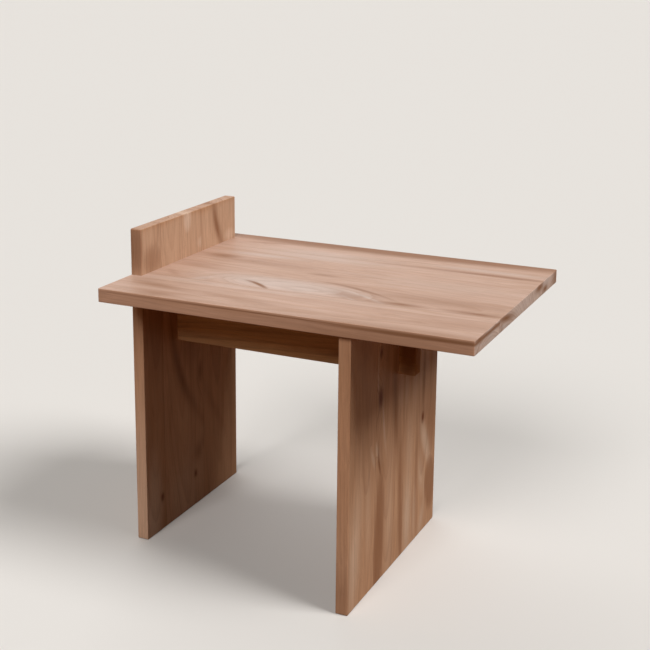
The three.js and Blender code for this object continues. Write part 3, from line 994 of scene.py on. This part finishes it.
def make_sanding_tree():
    """Joins, cuts and sands a blank, and gives it its finish."""
    tree, given, result = new_tree("sanded_board", {
        "Blank": "Geometry", "Tenon": "Object", "Cutter": "Object", "Slab Low": "Vector",
        "Slab High": "Vector", "Corner Radius": CORNER_RADIUS, "Arris": ARRIS, "Ripple Depth": RIPPLE_DEPTH,
        "Ripple Length": RIPPLE_LENGTH, "Seed": 0.0, "Finish": "Material",
    }, {"Board": "Geometry"}, "GeometryNodeTree")
    tree.is_modifier = True
    tenon, cutter = [node(tree, "GeometryNodeObjectInfo", {"Object": given[name]}).outputs["Geometry"]
                     for name in ("Tenon", "Cutter")]
    joined = node(tree, "GeometryNodeMeshBoolean", operation="UNION", solver="EXACT")
    plug(joined.inputs[1], given["Blank"])
    plug(joined.inputs[1], tenon)
    cut = node(tree, "GeometryNodeMeshBoolean", {0: joined.outputs[0], 1: cutter, "Self Intersection": True},
               operation="DIFFERENCE", solver="EXACT")

    place = node(tree, "GeometryNodeInputPosition").outputs[0]
    slow = vcalc("DIVIDE", vcalc("MULTIPLY", place, IN_PLANE), join(*[given["Ripple Length"]] * 3))
    ripple = minus(noise(slow, given["Seed"], 1.0), 0.5)
    ripple = join(0.0, 0.0, times(ripple, given["Ripple Depth"]))
    moved = vcalc("ADD", sanded_place(place, given), ripple)
    turned = node(tree, "GeometryNodeInputMeshEdgeAngle").outputs["Unsigned Angle"]
    sharp = node(tree, "FunctionNodeCompare", {0: turned, 1: CREASE}, operation="GREATER_THAN").outputs[0]

    def step(kind, board, inputs, **settings):
        return node(tree, "GeometryNode" + kind, {"Geometry": board, **inputs}, **settings).outputs[0]

    board = step("SetPosition", cut.outputs[0], {"Position": moved})
    board = step("MergeByDistance", board, {"Distance": WELD})
    board = step("SetShadeSmooth", board, {"Shade Smooth": True}, domain="FACE")
    board = step("SetShadeSmooth", board, {"Selection": sharp, "Shade Smooth": False}, domain="EDGE")
    board = step("RealizeInstances", board, {})
    plug(result["Board"], step("SetMaterial", board, {"Material": given["Finish"]}))
    return tree


SANDING_TREE = counted(make_sanding_tree())

# %% [markdown]
# Now the boards go through the shop. The modifier's inputs are set by their socket identifiers before
# Blender first works the object out. The result becomes a plain mesh, moves from the bench to its place
# in the table, and takes over from its CAD node.

# %% Make the boards
SHOP_SEED = 10.0
SOCKETS = {item.name: item.identifier for item in SANDING_TREE.interface.items_tree
           if item.item_type == "SOCKET" and item.in_out == "INPUT"}


def slab_limits(slab):
    """The slab's corners on its bench, run past each end that butts against another slab."""
    low, high = on_bench(slab, SLAB_BOX[slab])
    if slab == "right_leg":
        high.x += OVERRUN
    if slab == "stretcher":
        low.x -= OVERRUN
        high.y += OVERRUN
    return low, high


def finish_board(board, slab, seed):
    """One board, from sawn blank to finished piece."""
    slab_low, slab_high = slab_limits(slab)
    low, high = on_bench(slab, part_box(board))
    values = {"Cutter": CUTTERS[slab], "Slab Low": slab_low, "Slab High": slab_high, "Seed": seed,
              "Finish": BOARD_MATERIALS[board]}
    if slab == "stretcher":
        low.x = 0.0
        values["Tenon"] = TENON
    blank = sawn_blank(board + "_finished", low, high, slab_low, slab_high)
    modifier = blank.modifiers.new("sanding", "NODES")
    modifier.node_group = SANDING_TREE
    for title, value in values.items():
        modifier[SOCKETS[title]] = value
    bpy.context.view_layer.update()
    shop = bpy.context.evaluated_depsgraph_get()
    finished = bpy.data.meshes.new_from_object(blank.evaluated_get(shop), depsgraph=shop)
    finished.name = board + "_finished"
    finished.transform(bench_matrix(slab))
    blank.modifiers.clear()
    blank.data = finished
    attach(blank, "root")
    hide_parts(board)
    print(blank.name, "has", len(finished.polygons), "faces")


for number, (slab, boards) in enumerate(SLAB_NODES.items()):
    for board in boards:
        finish_board(board, slab, SHOP_SEED + number)
for tool in (*CUTTERS.values(), TENON):
    bpy.data.objects.remove(tool)

# %% [markdown]
# The dowels are hidden once the table is glued up. They keep their CAD shape, with its flutes, and are
# made of bare pale beech, with a fine grain along each dowel.

# %% Finish the dowels
BEECH, BEECH_STREAK, BEECH_PORE = colour(214, 184, 146), colour(196, 160, 122), colour(150, 108, 74)
BEECH_STREAK_WIDTH, BEECH_SEED = 2.5, 70.0
BEECH_PORE_TINT, BEECH_ROUGHNESS = 0.6, 0.65
BEECH_ROUGHER, BEECH_HIGHER = 0.2, 0.03
BEECH_RELIEF, BEECH_GLOSS = 0.5, 0.5


def dowel_material(name, turn):
    """Bare beech, turned so that its grain runs along the dowel."""
    material = new_material(name)
    tree = material.node_tree
    vector = grain_vector(tree, (0, 0, 0), turn)
    grain = placed(FIBRE_GROUP, {"Vector": vector, "Streak Width": BEECH_STREAK_WIDTH, "Seed": BEECH_SEED})
    ground = tint(grain["Streak"], BEECH, BEECH_STREAK)
    look = {
        "Color": tint(times(grain["Pore"], BEECH_PORE_TINT), ground, BEECH_PORE),
        "Roughness": calc("MULTIPLY_ADD", grain["Fibre"], BEECH_ROUGHER, BEECH_ROUGHNESS),
        "Height": times(grain["Fibre"], BEECH_HIGHER),
    }
    finish_shader(tree, look, BEECH_RELIEF, BEECH_GLOSS)
    return material


upright_beech = dowel_material("upright_beech", UPRIGHT)
level_beech = dowel_material("level_beech", FLAT)
for dowel in DOWELS:
    low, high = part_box(dowel)
    lies = high.x - low.x > high.z - low.z
    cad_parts[dowel].data.materials[0] = level_beech if lies else upright_beech
print("dowels in beech:", len(DOWELS))
